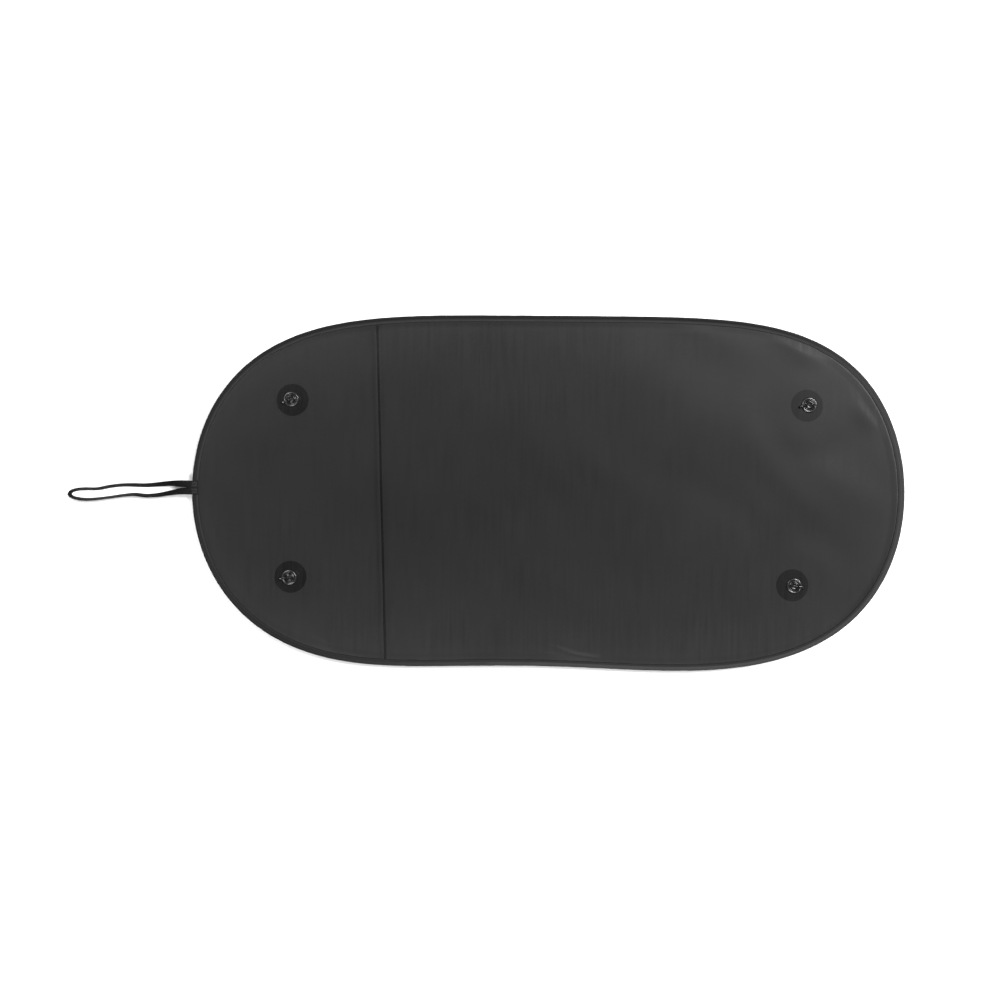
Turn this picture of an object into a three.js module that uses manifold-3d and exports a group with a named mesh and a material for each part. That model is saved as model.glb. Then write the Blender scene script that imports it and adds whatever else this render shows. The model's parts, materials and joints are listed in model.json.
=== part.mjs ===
// Rear window sunshade: a dark mesh cloth stretched in an oval ring of spring wire, with an edge
// binding, four suction cups in eyelets and a loop of tape to hang or fold it by.
// Millimetres, +Z up. It lies flat on its suction cups, with the cabin side up. The origin is
// under the middle of the oval, on the plane of the cups' lips.
import * as THREE from "three";
import { mergeVertices } from "three/addons/utils/BufferGeometryUtils.js";
import Module from "manifold-3d";

const wasm = await Module();
wasm.setup();

// Oval outline: |x / halfLength| ^ fullness + (y / halfWidth) ^ 2 = 1, with a slight wave in the hem
const halfLength = 500;
const halfWidth = 247.6;
const leftFullness = 4.3;
const rightFullness = 4.72;
const hemWave = 3.6;
const hemWaveStart = 92;
const hemWaveLength = 563;
const edgeStations = 96;

// Heights
const clothHeight = 14;
const clothThickness = 0.5;
const seatGap = 0.3;

// Wire ring and the sleeve that joins its ends
const wireRadius = 1;
const wireSides = 8;
const wireEndGap = 0.6;
const ferruleLength = 14;
const ferruleWall = 0.5;
const swellRun = 3;
const ferruleAngle = THREE.MathUtils.degToRad(259);

// Edge binding: tape folded round the wire, its two leaves gripping the cloth
const tapeThickness = 0.5;
const bindingWidth = 9;
const beadSteps = 6;
const leafGrip = 4;

// Cloth panel
const panelColumns = 48;
const panelRows = 12;
const creaseX = -234;
const creaseLean = THREE.MathUtils.degToRad(1.8);
const creaseHalfWidth = 3;
const creaseDepth = 0.7;
const slackDepth = 0.9;
const slackLength = 310;
const slackWidth = 190;
const slackFadeStart = 0.1;
const slackFadeEnd = 0.5;
const creaseFadeStart = 0.08;
const creaseFadeEnd = 0.16;
const creaseColumnsHold = 10;
const creaseColumnsFade = 80;
const flatRoundCups = 45;
const slackRoundCups = 90;

// Eyelets: front ring, barrel and flare are one piece, and a washer backs the cloth
const roundSegments = 24;
const eyeletRadius = 11;
const eyeletCrest = 1.9;
const eyeletRimRadius = 7.2;
const eyeletRimDrop = 0.7;
const eyeletShoulderInset = 0.3;
const eyeletShoulderRise = 1.14;
const barrelRadius = 6;
const boreRadius = 5.2;
const flareRadius = 7.3;
const flareThickness = 0.5;
const washerRadius = 9.5;
const washerThickness = 0.7;

// Suction cups
const cupRadius = 22.5;
const lipLand = 1.2;
const lipThickness = 0.9;
const hollowDepth = 5.5;
const hollowShoulder = 15.3;
const skirtThickness = 3;
const domeShoulder = 14;
const domeShoulderDrop = 1.4;
const bossRadius = 7.5;
const headRadius = 6.3;
const headEdgeHeight = 1.5;
const headCrownRadius = 4.9;
const headCrownHeight = 2.6;
const headHeight = 3;
const tabReach = 14.4;
const tabWidth = 3;
const tabThickness = 1.1;
const tabBead = 1.9;
const tabBeadHeight = 1.1;
const domeSteps = 5;

// Places of the cups, from the tips and the long sides of the oval, and how each is turned
const cupPlaces = [
  { name: "upper_left", end: -1, side: 1, fromTip: 138.2, fromSide: 119.8, turn: 203 },
  { name: "lower_left", end: -1, side: -1, fromTip: 137.1, fromSide: 125.4, turn: 190 },
  { name: "upper_right", end: 1, side: 1, fromTip: 134.7, fromSide: 122.8, turn: 192 },
  { name: "lower_right", end: 1, side: -1, fromTip: 153.8, fromSide: 118.4, turn: 350 },
];

// Tape loop at the left tip, sewn flat on the binding and standing on its edge further out
const loopTapeWidth = 9;
const loopTapeThickness = 1;
const loopStand = THREE.MathUtils.degToRad(76);
const loopTwistLength = 38;
const loopSewnLength = 12;
const loopSteps = 60;
const loopRoute = [
  [-491.8, 8.6, 16], [-495, 8.6, 16.5], [-498.5, 8.6, 17], [-504, 8.8, 16.6], [-516, 9.2, 14.2],
  [-533, 9.3, 8.8], [-550, 7.9, 5.3], [-567, 6.7, 4.4], [-584, 7, 4.5], [-601, 6.7, 4.6],
  [-618, 4.6, 4.6], [-635, 1.3, 4.7], [-652, 1.1, 4.7], [-664, 0, 4.7], [-672.3, -3, 4.7],
  [-674.4, -7, 4.7], [-671, -10.3, 4.7], [-662, -12.8, 4.7], [-650, -13.8, 4.7], [-635, -12.8, 4.7],
  [-618, -10.6, 4.6], [-601, -8.1, 4.6], [-584, -6.4, 4.5], [-567, -7.9, 4.4], [-550, -6.9, 5.3],
  [-533, -4, 8.8], [-516, -1.4, 14.2], [-504, -1, 16.6], [-498.5, -1, 17], [-495, -1, 16.5],
  [-491.8, -1, 16],
];

// Derived sizes
const facetShare = Math.cos(Math.PI / beadSteps);
const cavityRadius = (wireRadius + seatGap) / facetShare;
const beadRadius = cavityRadius + tapeThickness;
const ferruleBore = (wireRadius + seatGap) / Math.cos(Math.PI / wireSides);
const ferruleRadius = ferruleBore + ferruleWall;
const ferruleSwell = (ferruleRadius + seatGap) / facetShare - cavityRadius;
const leafInner = clothThickness / 2 + seatGap;
const leafOuter = leafInner + tapeThickness;
const panelInset = bindingWidth - leafGrip;
const washerTop = clothHeight - clothThickness / 2 - seatGap;
const flareTop = washerTop - washerThickness - seatGap;
const bossTop = flareTop - flareThickness - seatGap;
const neckRadius = boreRadius - seatGap;
const ringBase = clothHeight + clothThickness / 2 + seatGap;
const ringTop = ringBase + eyeletCrest;
const rimTop = ringTop - eyeletRimDrop;
const headBase = rimTop + seatGap;
const tabBase = ringTop + seatGap;

// Solids from rings of points and back from manifold-3d
function geometryOf(points, indices) {
  const geometry = new THREE.BufferGeometry();
  geometry.setAttribute("position", new THREE.Float32BufferAttribute(points.flatMap((p) => p.toArray()), 3));
  geometry.setIndex(indices);
  geometry.computeVertexNormals();
  return geometry;
}

function loft(rings, closed) {
  const size = rings[0].length;
  const indices = [];
  const last = closed ? rings.length : rings.length - 1;
  for (let i = 0; i < last; i++) {
    const here = i * size;
    const next = ((i + 1) % rings.length) * size;
    for (let j = 0; j < size; j++) {
      const k = (j + 1) % size;
      indices.push(here + j, next + j, next + k, here + j, next + k, here + k);
    }
  }
  if (!closed) {
    const end = (rings.length - 1) * size;
    for (let j = 1; j < size - 1; j++) {
      indices.push(0, j, j + 1);
      indices.push(end, end + j + 1, end + j);
    }
  }
  return geometryOf(rings.flat(), indices);
}

function toManifold(geometry) {
  const bare = geometry.clone();
  bare.deleteAttribute("normal");
  bare.deleteAttribute("uv");
  const merged = mergeVertices(bare, 1e-4);
  return new wasm.Manifold(new wasm.Mesh({
    numProp: 3,
    vertProperties: new Float32Array(merged.attributes.position.array),
    triVerts: new Uint32Array(merged.index.array),
  }));
}

function fromManifold(solid) {
  const mesh = solid.getMesh();
  const geometry = new THREE.BufferGeometry();
  geometry.setAttribute("position", new THREE.BufferAttribute(mesh.vertProperties, 3));
  geometry.setIndex(new THREE.BufferAttribute(mesh.triVerts, 1));
  geometry.computeVertexNormals();
  return geometry;
}

// A turned solid about the Z axis, from a profile of [radius, height] points that runs upwards
function turned(profile) {
  const geometry = new THREE.LatheGeometry(profile.map(([r, z]) => new THREE.Vector2(r, z)), roundSegments);
  return geometry.rotateX(Math.PI / 2);
}

// A turned ring, from a closed profile
function turnedRing(profile) {
  return turned([...profile, profile[0]]);
}

// Oval edge, from the distances of its two sides to the line through its tips
function sideRise(x) {
  const fullness = x > 0 ? rightFullness : leftFullness;
  return Math.sqrt(Math.max(0, 1 - Math.abs(x / halfLength) ** fullness));
}

function hemDepth(x) {
  const wave = hemWave * Math.sin((2 * Math.PI * (x - hemWaveStart)) / hemWaveLength);
  return (halfWidth + wave) * sideRise(x);
}

let hemReach = 0;
for (let x = -halfLength; x < halfLength; x++) {
  hemReach = Math.max(hemReach, hemDepth(x));
}
const tipLine = (hemReach - halfWidth) / 2;

function ovalPoint(angle) {
  const x = halfLength * Math.cos(angle);
  const rise = Math.sin(angle) < 0 ? -hemDepth(x) : halfWidth * sideRise(x);
  return new THREE.Vector3(x, tipLine + rise, 0);
}

class OvalEdge extends THREE.Curve {
  getPoint(t) {
    return ovalPoint(2 * Math.PI * t + ferruleAngle);
  }
}

const edge = new OvalEdge();
edge.arcLengthDivisions = 1600;
const perimeter = edge.getLength();

function inwardNormal(along) {
  return new THREE.Vector3(-along.y, along.x, 0).normalize();
}

function ovalInset(angle, inset) {
  const delta = 1e-4;
  const along = ovalPoint(angle + delta).sub(ovalPoint(angle - delta));
  return ovalPoint(angle).addScaledVector(inwardNormal(along), inset);
}

// A ring of section points at one distance along the edge. The section holds [inset, height] pairs,
// counter-clockwise, and the ring turns the other way because the edge has its inside on the left.
function edgeRing(distance, section) {
  const share = THREE.MathUtils.clamp(distance / perimeter, 0, 1);
  const origin = edge.getPointAt(share);
  const inward = inwardNormal(edge.getTangentAt(share));
  const ring = section.map(([inset, height]) => {
    const point = origin.clone().addScaledVector(inward, inset);
    point.z = clothHeight + height;
    return point;
  });
  return ring.reverse();
}

const ferruleReach = ferruleLength / 2 + swellRun;
const stationStep = perimeter / edgeStations;
const stations = [0, ferruleReach];
for (let i = 1; i < edgeStations; i++) {
  stations.push(i * stationStep);
}
stations.push(perimeter - ferruleReach);

// Edge binding
function arcPoints(radius, fromAngle) {
  const points = [];
  for (let i = 0; i <= beadSteps; i++) {
    const a = fromAngle + ((2 * Math.PI - 2 * fromAngle) * i) / beadSteps;
    points.push([beadRadius + radius * Math.cos(a), radius * Math.sin(a)]);
  }
  return points;
}

function bindingSection(swell) {
  const outside = beadRadius + swell;
  const inside = cavityRadius + swell;
  const outer = arcPoints(outside, Math.asin(leafOuter / outside));
  const inner = arcPoints(inside, Math.asin(leafInner / inside));
  return [
    [bindingWidth, leafInner],
    [bindingWidth, leafOuter],
    ...outer,
    [bindingWidth, -leafOuter],
    [bindingWidth, -leafInner],
    ...inner.reverse(),
  ];
}

function edgeBinding() {
  return loft(
    stations.map((distance) => {
      const toFerrule = Math.min(distance, perimeter - distance);
      return edgeRing(distance, bindingSection(toFerrule < stationStep / 2 ? ferruleSwell : 0));
    }),
    true,
  );
}

// Wire ring and its ferrule
function circleSection(radius) {
  const points = [];
  for (let i = 0; i < wireSides; i++) {
    const a = (2 * Math.PI * i) / wireSides;
    points.push([beadRadius + radius * Math.cos(a), radius * Math.sin(a)]);
  }
  return points;
}

function frameWire() {
  const distances = [wireEndGap / 2, ...stations.slice(1), perimeter - wireEndGap / 2];
  return loft(distances.map((distance) => edgeRing(distance, circleSection(wireRadius))), false);
}

function ferrule() {
  const origin = edge.getPointAt(0);
  const along = edge.getTangentAt(0);
  const shape = new THREE.Shape().absarc(0, 0, ferruleRadius, 0, 2 * Math.PI, false);
  shape.holes.push(new THREE.Path().absarc(0, 0, ferruleBore, 0, 2 * Math.PI, true));
  const geometry = new THREE.ExtrudeGeometry(shape, {
    depth: ferruleLength,
    bevelEnabled: false,
    curveSegments: wireSides,
  });
  geometry.translate(0, 0, -ferruleLength / 2);
  geometry.rotateY(Math.PI / 2);
  geometry.rotateZ(Math.atan2(along.y, along.x));
  const centre = origin.addScaledVector(inwardNormal(along), beadRadius);
  return geometry.translate(centre.x, centre.y, clothHeight);
}

// Cloth panel: columns across the oval, with one set along the crease
const cups = cupPlaces.map((place) => ({
  ...place,
  x: place.end * (halfLength - place.fromTip),
  y: tipLine + place.side * (halfWidth - place.fromSide),
}));

function panelEdgeY(x, side) {
  let low = 0;
  let high = Math.PI;
  for (let i = 0; i < 40; i++) {
    const middle = (low + high) / 2;
    if (ovalInset(side * middle, panelInset).x > x) {
      low = middle;
    } else {
      high = middle;
    }
  }
  return ovalInset(side * low, panelInset).y;
}

function creaseLine(y) {
  return creaseX - Math.tan(creaseLean) * y;
}

function clothDip(x, y) {
  const depthIn = sideRise(x) ** 2 - ((y - tipLine) / halfWidth) ** 2;
  let freedom = THREE.MathUtils.smoothstep(depthIn, slackFadeStart, slackFadeEnd);
  for (const cup of cups) {
    const away = Math.hypot(x - cup.x, y - cup.y);
    freedom *= THREE.MathUtils.smoothstep(away, flatRoundCups, slackRoundCups);
  }
  const slack = Math.sin((2 * Math.PI * x) / slackLength) * Math.cos((2 * Math.PI * y) / slackWidth);
  const fold = Math.max(0, 1 - Math.abs(x - creaseLine(y)) / creaseHalfWidth);
  const foldFade = THREE.MathUtils.smoothstep(depthIn, creaseFadeStart, creaseFadeEnd);
  return slackDepth * freedom * slack - creaseDepth * foldFade * fold;
}

function panelColumnPlaces() {
  const reach = halfLength - panelInset;
  const places = [];
  for (let i = 1; i < panelColumns; i++) {
    places.push(-reach * Math.cos((Math.PI * i) / panelColumns));
  }
  const clear = places.filter((x) => Math.abs(x - creaseX) > 3 * creaseHalfWidth);
  return [...clear, creaseX - creaseHalfWidth, creaseX, creaseX + creaseHalfWidth].sort((a, b) => a - b);
}

function panelColumn(place) {
  const away = Math.abs(place - creaseX);
  const nearCrease = 1 - THREE.MathUtils.smoothstep(away, creaseColumnsHold, creaseColumnsFade);
  const leanAt = (y) => place + nearCrease * (creaseLine(y) - creaseX);
  let top = panelEdgeY(place, 1);
  let bottom = panelEdgeY(place, -1);
  for (let i = 0; i < 4; i++) {
    top = panelEdgeY(leanAt(top), 1);
    bottom = panelEdgeY(leanAt(bottom), -1);
  }
  const points = [];
  for (let j = 0; j <= panelRows; j++) {
    const y = THREE.MathUtils.lerp(bottom, top, j / panelRows);
    const x = leanAt(y);
    points.push(new THREE.Vector3(x, y, clothHeight + clothDip(x, y)));
  }
  return points;
}

function meshPanel() {
  const half = new THREE.Vector3(0, 0, clothThickness / 2);
  const rings = panelColumnPlaces().map((place) => {
    const column = panelColumn(place);
    const upper = column.map((p) => p.clone().add(half));
    const lower = column.map((p) => p.clone().sub(half)).reverse();
    return [...upper, ...lower];
  });
  const size = rings[0].length;
  const indices = [];
  for (let i = 0; i < rings.length - 1; i++) {
    for (let j = 0; j < size; j++) {
      const k = (j + 1) % size;
      const here = i * size;
      const next = here + size;
      indices.push(here + j, next + j, next + k, here + j, next + k, here + k);
    }
  }
  const end = (rings.length - 1) * size;
  for (let j = 0; j < panelRows; j++) {
    const back = size - 1 - j;
    indices.push(j, j + 1, back, j + 1, back - 1, back);
    indices.push(end + j, end + back, end + j + 1, end + j + 1, end + back, end + back - 1);
  }
  let panel = toManifold(geometryOf(rings.flat(), indices));
  for (const cup of cups) {
    const hole = new THREE.CylinderGeometry(
      barrelRadius + seatGap, barrelRadius + seatGap, 4 * clothThickness, roundSegments);
    hole.rotateX(Math.PI / 2).translate(cup.x, cup.y, clothHeight);
    panel = panel.subtract(toManifold(hole));
  }
  return fromManifold(panel);
}

// Eyelets
function eyelet() {
  const crestRadius = (eyeletRadius + eyeletRimRadius) / 2;
  return turnedRing([
    [boreRadius, flareTop - flareThickness],
    [flareRadius, flareTop - flareThickness],
    [flareRadius, flareTop],
    [barrelRadius, flareTop],
    [barrelRadius, ringBase],
    [eyeletRadius, ringBase],
    [eyeletRadius - eyeletShoulderInset, ringBase + eyeletShoulderRise],
    [crestRadius, ringTop],
    [eyeletRimRadius, rimTop],
    [boreRadius, rimTop],
  ]);
}

function eyeletWasher() {
  return turnedRing([
    [barrelRadius + seatGap, washerTop - washerThickness],
    [washerRadius, washerTop - washerThickness],
    [washerRadius, washerTop],
    [barrelRadius + seatGap, washerTop],
  ]);
}

// Suction cup, with the neck, the head and its pull tab in one moulding
function curve(from, control, to, steps) {
  const path = new THREE.QuadraticBezierCurve(
    new THREE.Vector2(...from), new THREE.Vector2(...control), new THREE.Vector2(...to));
  return path.getPoints(steps).map((p) => [p.x, p.y]);
}

function cupProfile() {
  const hollowRadius = cupRadius - lipLand;
  const skirtTop = hollowDepth + skirtThickness;
  const shoulder = [domeShoulder, skirtTop - domeShoulderDrop];
  return [
    ...curve([0, hollowDepth], [hollowShoulder, hollowDepth], [hollowRadius, 0], domeSteps),
    [cupRadius, 0],
    ...curve([cupRadius, lipThickness], shoulder, [bossRadius, skirtTop], domeSteps),
    [bossRadius, bossTop],
    [neckRadius, bossTop],
    [neckRadius, headBase],
    [headRadius, headBase],
    [headRadius, headBase + headEdgeHeight],
    [headCrownRadius, headBase + headCrownHeight],
    [0, headBase + headHeight],
  ];
}

function pullTab() {
  const outline = new THREE.Shape();
  outline.moveTo(0, -tabWidth / 2);
  outline.lineTo(tabReach - tabBead, -tabWidth / 2);
  outline.absarc(tabReach - tabBead, 0, tabBead, -Math.PI / 3, Math.PI / 3, false);
  outline.lineTo(tabReach - tabBead, tabWidth / 2);
  outline.lineTo(0, tabWidth / 2);
  const tongue = new THREE.ExtrudeGeometry(outline, {
    depth: tabThickness,
    bevelEnabled: false,
    curveSegments: 4,
  });
  tongue.translate(0, 0, tabBase);
  const bead = new THREE.SphereGeometry(tabBead, 8, 6);
  bead.scale(1, 1, tabBeadHeight / tabBead).translate(tabReach - tabBead, 0, tabBase + tabThickness);
  return toManifold(tongue).add(toManifold(bead));
}

function suctionCup() {
  return fromManifold(toManifold(turned(cupProfile())).add(pullTab()));
}

// Tape loop
function loopRing(route, share, length) {
  const centre = route.getPointAt(share);
  const along = route.getTangentAt(share).normalize();
  const outward = new THREE.Vector3(along.y, -along.x, 0).normalize();
  const free = Math.max(0, Math.min(share, 1 - share) * length - loopSewnLength);
  const stand = loopStand * (1 - Math.exp(-free / loopTwistLength));
  const across = outward.multiplyScalar(Math.cos(stand)).add(new THREE.Vector3(0, 0, Math.sin(stand)));
  across.addScaledVector(along, -across.dot(along)).normalize();
  const through = new THREE.Vector3().crossVectors(along, across);
  const w = loopTapeWidth / 2;
  const t = loopTapeThickness / 2;
  const corners = [[-w, 0], [-w + t, t], [0, t], [w - t, t], [w, 0], [w - t, -t], [0, -t], [-w + t, -t]];
  return corners.map(([a, b]) => centre.clone().addScaledVector(across, a).addScaledVector(through, b));
}

function strapLoop() {
  const route = new THREE.CatmullRomCurve3(loopRoute.map((p) => new THREE.Vector3(...p)), false, "centripetal");
  const length = route.getLength();
  const rings = [];
  for (let i = 0; i <= loopSteps; i++) {
    rings.push(loopRing(route, i / loopSteps, length));
  }
  return loft(rings, false);
}

// Materials
const meshCloth = new THREE.MeshStandardMaterial({ color: 0x2d2d2d, roughness: 0.9, metalness: 0 });
const bindingTape = new THREE.MeshStandardMaterial({ color: 0x262626, roughness: 0.75, metalness: 0 });
const springSteel = new THREE.MeshStandardMaterial({ color: 0x8c8f93, roughness: 0.35, metalness: 1 });
const crimpBrass = new THREE.MeshStandardMaterial({ color: 0xa08a4c, roughness: 0.4, metalness: 1 });
const blackPvc = new THREE.MeshStandardMaterial({ color: 0x0d0d0e, roughness: 0.28, metalness: 0 });
const blackEnamel = new THREE.MeshStandardMaterial({ color: 0x1a1a1b, roughness: 0.2, metalness: 0.6 });
const loopTape = new THREE.MeshStandardMaterial({ color: 0x1f1f1f, roughness: 0.8, metalness: 0 });

function named(name, geometry, material) {
  const mesh = new THREE.Mesh(geometry, material);
  mesh.name = name;
  return mesh;
}

// Assembly
const sunshade = new THREE.Group();
sunshade.name = "rear_window_sunshade";
sunshade.add(
  named("mesh_panel", meshPanel(), meshCloth),
  named("edge_binding", edgeBinding(), bindingTape),
  named("frame_wire", frameWire(), springSteel),
  named("wire_ferrule", ferrule(), crimpBrass),
  named("strap_loop", strapLoop(), loopTape),
);
for (const cup of cups) {
  const station = new THREE.Group();
  station.position.set(cup.x, cup.y, 0);
  const moulding = named("suction_cup_" + cup.name, suctionCup(), blackPvc);
  moulding.rotation.z = THREE.MathUtils.degToRad(cup.turn);
  station.add(
    moulding,
    named("eyelet_" + cup.name, eyelet(), blackEnamel),
    named("eyelet_washer_" + cup.name, eyeletWasher(), blackEnamel),
  );
  sunshade.add(station);
}

export default sunshade;
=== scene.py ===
import json
import math

import bpy
import numpy as np
from mathutils import Matrix, Vector
from mathutils.geometry import delaunay_2d_cdt


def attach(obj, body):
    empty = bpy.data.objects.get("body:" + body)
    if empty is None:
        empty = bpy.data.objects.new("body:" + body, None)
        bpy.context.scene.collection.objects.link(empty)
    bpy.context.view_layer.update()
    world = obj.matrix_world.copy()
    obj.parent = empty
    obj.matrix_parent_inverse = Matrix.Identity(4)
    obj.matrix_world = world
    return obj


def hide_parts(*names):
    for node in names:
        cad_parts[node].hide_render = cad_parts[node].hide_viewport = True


# Looks of the rear window sunshade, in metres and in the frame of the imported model.

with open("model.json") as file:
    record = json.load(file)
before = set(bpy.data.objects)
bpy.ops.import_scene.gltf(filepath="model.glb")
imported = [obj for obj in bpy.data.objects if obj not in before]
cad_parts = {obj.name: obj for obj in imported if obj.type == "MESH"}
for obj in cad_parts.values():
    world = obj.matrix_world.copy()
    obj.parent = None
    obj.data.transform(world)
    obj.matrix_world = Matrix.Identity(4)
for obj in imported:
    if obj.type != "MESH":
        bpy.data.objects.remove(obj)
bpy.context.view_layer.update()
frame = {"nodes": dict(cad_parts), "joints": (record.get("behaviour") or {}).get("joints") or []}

# Sizes shared with the solids
HALF_LENGTH = 0.5
HALF_WIDTH = 0.2476
LEFT_FULLNESS = 4.3
RIGHT_FULLNESS = 4.72
HEM_WAVE = 0.0036
HEM_WAVE_START = 0.092
HEM_WAVE_LENGTH = 0.563
CLOTH_Z = 0.014
BEAD_RADIUS = 0.002
FERRULE_ANGLE = math.radians(259)
FERRULE_HALF = 0.010
FERRULE_SWELL = 0.00105
PANEL_INSET = 0.005
HOLE_RADIUS = 0.0063
CREASE_X = -0.234
CREASE_LEAN = math.tan(math.radians(1.8))
TAB_DIRECTIONS = {"upper_left": 203, "lower_left": 190, "upper_right": 192, "lower_right": 350}

# Each cup's place, from the axis that it turns on, and the direction of its pull tab in degrees
CUP_AXES = {joint["name"]: joint["pos_m"] for joint in frame["joints"]}
CUPS = {
    key: (*CUP_AXES["cup_turn_" + key][:2], direction)
    for key, direction in TAB_DIRECTIONS.items()
}

# The middle of the loop's tape, from its upper sewn end to its lower one
LOOP_ROUTE = 0.001 * np.array([
    [-491.8, 8.6, 16], [-495, 8.6, 16.5], [-498.5, 8.6, 17], [-504, 8.8, 16.6],
    [-516, 9.2, 14.2], [-533, 9.3, 8.8], [-550, 7.9, 5.3], [-567, 6.7, 4.4], [-584, 7, 4.5],
    [-601, 6.7, 4.6], [-618, 4.6, 4.6], [-635, 1.3, 4.7], [-652, 1.1, 4.7], [-664, 0, 4.7],
    [-672.3, -3, 4.7], [-674.4, -7, 4.7], [-671, -10.3, 4.7], [-662, -12.8, 4.7],
    [-650, -13.8, 4.7], [-635, -12.8, 4.7], [-618, -10.6, 4.6], [-601, -8.1, 4.6],
    [-584, -6.4, 4.5], [-567, -7.9, 4.4], [-550, -6.9, 5.3], [-533, -4, 8.8],
    [-516, -1.4, 14.2], [-504, -1, 16.6], [-498.5, -1, 17], [-495, -1, 16.5], [-491.8, -1, 16],
])


# Lines
SPAN_STEPS = 24  # points worked out between two points of a smooth line


def distances(points, closed=False):
    """Distances along a line of points from its first one, and back to it if it is closed."""
    points = np.asarray(points, float)
    if closed:
        points = np.vstack([points, points[:1]])
    steps = np.linalg.norm(np.diff(points, axis=0), axis=1)
    return np.concatenate([[0], np.cumsum(steps)])


def points_at(at, run, line):
    """Points at given distances along a line whose own points lie at the distances in run."""
    return np.stack([np.interp(at, run, column) for column in line.T], 1)


def smooth_path(points, steps):
    """A smooth line through the points, in equal steps, and its length."""
    p = np.asarray(points, float)
    p = np.vstack([2 * p[0] - p[1], p, 2 * p[-1] - p[-2]])
    t = np.linspace(0, 1, SPAN_STEPS, endpoint=False)[:, None]
    spans = []
    for a, b, c, d in zip(p, p[1:], p[2:], p[3:]):
        d0, d1, d2 = (max(np.linalg.norm(v) ** 0.5, 1e-9) for v in (b - a, c - b, d - c))
        m1 = ((b - a) / d0 - (c - a) / (d0 + d1) + (c - b) / d1) * d1
        m2 = ((c - b) / d1 - (d - b) / (d1 + d2) + (d - c) / d2) * d1
        square = 3 * c - 3 * b - 2 * m1 - m2
        cube = 2 * b - 2 * c + m1 + m2
        spans.append(b + m1 * t + square * t**2 + cube * t**3)
    line = np.vstack(spans + [p[-2][None]])
    run = distances(line)
    return points_at(np.linspace(0, run[-1], steps + 1), run, line), run[-1]


def wobble(s, length, wavelength, seed, periodic=True):
    """Smooth seeded noise along a length, from -1 to 1."""
    count = max(3, int(round(length / wavelength)))
    values = np.random.default_rng(seed).uniform(-1, 1, count)
    if periodic:
        values = np.append(values, values[0])
    t = np.asarray(s) / length * (len(values) - 1)
    i = np.clip(t.astype(int), 0, len(values) - 2)
    f = t - i
    f = f * f * (3 - 2 * f)
    return values[i] * (1 - f) + values[i + 1] * f


def fade(a, b, x):
    """Smooth step from 0 at a to 1 at b."""
    t = np.clip((x - a) / (b - a), 0, 1)
    return t * t * (3 - 2 * t)


# Meshes
TURNED_UV = 0.06  # length in the UVs once round a turned piece


def mesh_object(name, points, faces, uv):
    """A smooth-shaded object, with a UV pair in metres for each corner of each face."""
    mesh = bpy.data.meshes.new(name)
    mesh.from_pydata(np.reshape(points, (-1, 3)).tolist(), [], faces)
    layer = mesh.uv_layers.new(name="UVMap")
    layer.data.foreach_set("uv", np.ravel(uv).astype(np.float32))
    mesh.polygons.foreach_set("use_smooth", [True] * len(mesh.polygons))
    obj = bpy.data.objects.new(name, mesh)
    bpy.context.scene.collection.objects.link(obj)
    return obj


def grid_object(name, rings, closed_along, closed_across, along, across):
    """An object from rings of points, with u along the rings and v across them."""
    n, m = rings.shape[:2]
    i = np.arange(n if closed_along else n - 1)
    j = np.arange(m if closed_across else m - 1)
    i, j = (a.ravel() for a in np.meshgrid(i, j, indexing="ij"))
    next_i, next_j = (i + 1) % n, (j + 1) % m
    faces = np.stack([i * m + j, next_i * m + j, next_i * m + next_j, i * m + next_j], 1)
    u0, u1 = along[i], along[i + 1]
    v0, v1 = across[j], across[j + 1]
    uv = np.stack([u0, v0, u1, v0, u1, v1, u0, v1], 1)
    return mesh_object(name, rings, faces.tolist(), uv)


def join(name, objects):
    """One object from several."""
    bpy.ops.object.select_all(action="DESELECT")
    for o in objects:
        o.select_set(True)
    bpy.context.view_layer.objects.active = objects[0]
    bpy.ops.object.join()
    objects[0].name = name
    objects[0].data.name = name
    return objects[0]


def lathe(name, profile, segments):
    """A turned object about the Z axis, from [radius, height] points, at the origin."""
    a = np.linspace(0, 2 * math.pi, segments, endpoint=False)
    rings = np.stack([
        profile[None, :, 0] * np.cos(a)[:, None],
        profile[None, :, 0] * np.sin(a)[:, None],
        np.broadcast_to(profile[None, :, 1], (segments, len(profile))),
    ], 2)
    along = np.arange(segments + 1) / segments * TURNED_UV
    return grid_object(name, rings, True, False, along, distances(profile, closed=True))


def placed(obj, x, y, turn=0.0):
    """Puts an object's mesh at a place in the plane, turned about Z."""
    rotation = Matrix.Rotation(math.radians(turn), 4, "Z")
    obj.data.transform(Matrix.Translation((x, y, 0)) @ rotation)


# Outline of the oval
def side_rise(x):
    """How far a side stands off the tips' line at x, as a share of the half width."""
    power = np.where(x > 0, RIGHT_FULLNESS, LEFT_FULLNESS)
    return np.sqrt(np.maximum(0, 1 - np.abs(x / HALF_LENGTH) ** power))


def hem_depth(x):
    """Depth of the lower side below the tips' line, with its slight wave."""
    wave = HEM_WAVE * np.sin(2 * math.pi * (x - HEM_WAVE_START) / HEM_WAVE_LENGTH)
    return (HALF_WIDTH + wave) * side_rise(x)


# The y of the tips' line, which puts the middle of the oval's width at 0.
TIP_LINE = (hem_depth(np.linspace(-HALF_LENGTH, HALF_LENGTH, 1001)).max() - HALF_WIDTH) / 2


def depth_inside(x, y):
    """How far a point is inside the oval, from about 0 at the outline to 1 at the middle."""
    return side_rise(x) ** 2 - ((y - TIP_LINE) / HALF_WIDTH) ** 2


def oval(angle):
    """Points of the outline, for an angle that goes round it once."""
    x = HALF_LENGTH * np.cos(angle)
    y = np.where(np.sin(angle) < 0, -hem_depth(x), HALF_WIDTH * side_rise(x))
    return np.stack([x, TIP_LINE + y], -1)


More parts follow.
